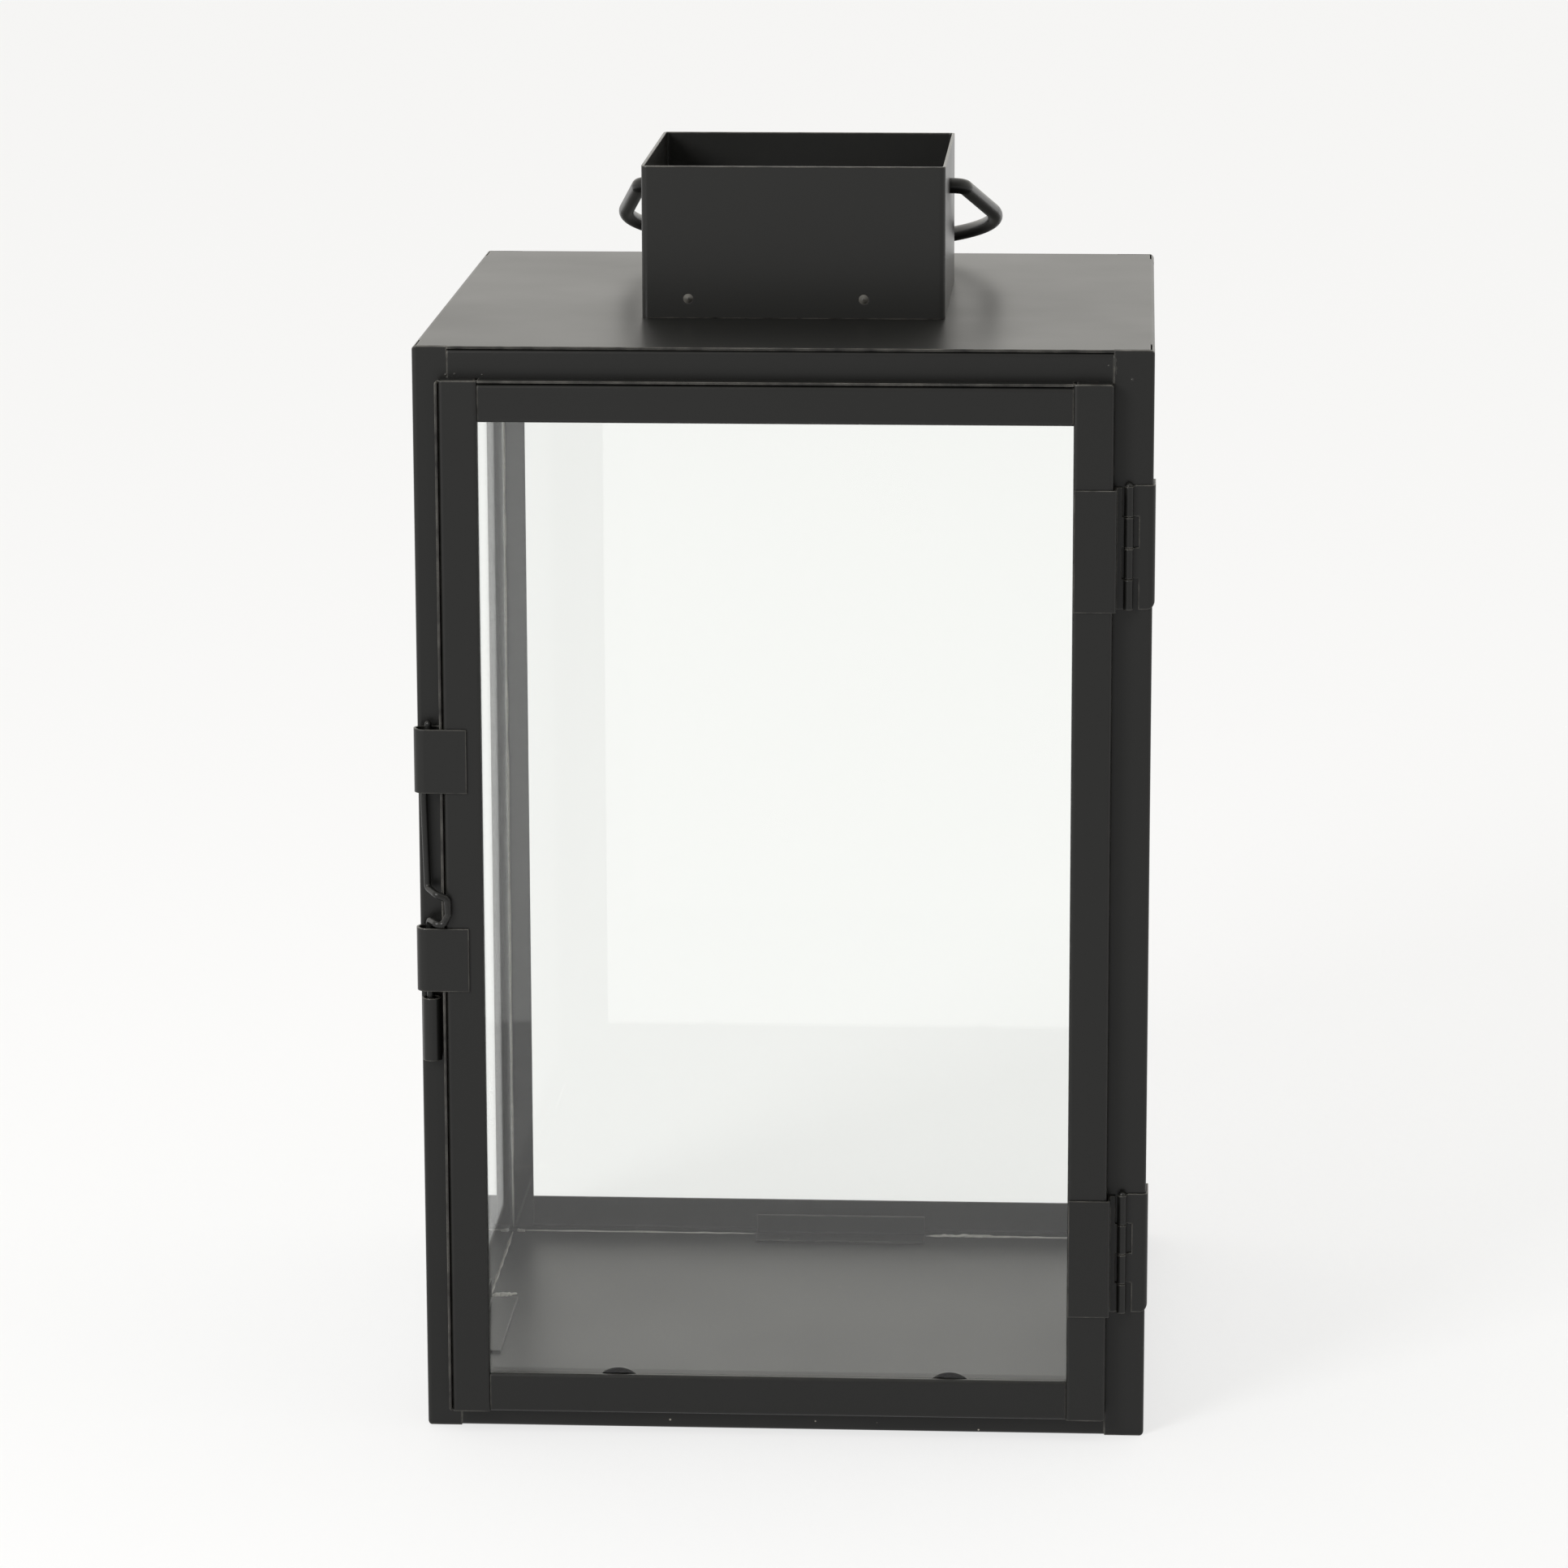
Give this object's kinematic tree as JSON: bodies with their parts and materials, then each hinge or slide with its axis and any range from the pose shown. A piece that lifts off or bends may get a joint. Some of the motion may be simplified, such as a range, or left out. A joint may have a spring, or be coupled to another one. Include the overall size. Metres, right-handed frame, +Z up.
{
  "type": "candle lantern with hinged door",
  "caption": "Black sheet-steel candle lantern with glass panes, a hinged glass door with a lift-up wire bolt, an open square chimney and a folding wire bail.",
  "frame": {"origin": "middle of the underside of the base tray, below the middle of the body without its door", "axes": "+Z up, -Y towards the door, +X towards the door's hinges"},
  "size_m": [0.2213, 0.2295, 0.3815],
  "materials": {
    "coated_sheet": "satin black powder coat",
    "coated_hardware": "satin black powder coat",
    "pane_glass": "clear float glass"
  },
  "bodies": {
    "body": {"base_tray": "coated_sheet", "roof_plate": "coated_sheet", "chimney": "coated_sheet", "post_front_left": "coated_sheet", "post_front_right": "coated_sheet", "post_rear_left": "coated_sheet", "post_rear_right": "coated_sheet", "top_rail_front": "coated_sheet", "top_rail_rear": "coated_sheet", "top_rail_left": "coated_sheet", "top_rail_right": "coated_sheet", "glass_left": "pane_glass", "glass_right": "pane_glass", "glass_rear": "pane_glass", "clip_left": "coated_sheet", "clip_right": "coated_sheet", "clip_rear": "coated_sheet", "post_leaf_lower": "coated_hardware", "post_leaf_upper": "coated_hardware", "hinge_pin_lower": "coated_hardware", "hinge_pin_upper": "coated_hardware", "keeper": "coated_hardware"},
    "door": {"door_stile_left": "coated_sheet", "door_stile_right": "coated_sheet", "door_rail_top_bar": "coated_sheet", "door_rail_bottom_bar": "coated_sheet", "door_glass": "pane_glass", "door_leaf_lower": "coated_hardware", "door_leaf_upper": "coated_hardware", "strap_lower": "coated_hardware", "strap_upper": "coated_hardware"},
    "bolt": {"latch_bolt": "coated_hardware"},
    "bail_handle": {"bail": "coated_hardware"}
  },
  "joints": [
    {"name": "door_hinge", "type": "hinge", "parent": "body", "child": "door", "pos_m": [0.1028, -0.1087, 0.1672], "axis": [0, 0, 1], "range_deg": [0, 130]},
    {"name": "bolt_lift", "type": "slide", "parent": "door", "child": "bolt", "axis": [0, 0, 1], "range_m": [0, 0.026]},
    {"name": "bail_hinge", "type": "hinge", "parent": "body", "child": "bail_handle", "pos_m": [0, 0, 0.3703], "axis": [1, 0, 0], "range_deg": [0, 212.7]}
  ]
}
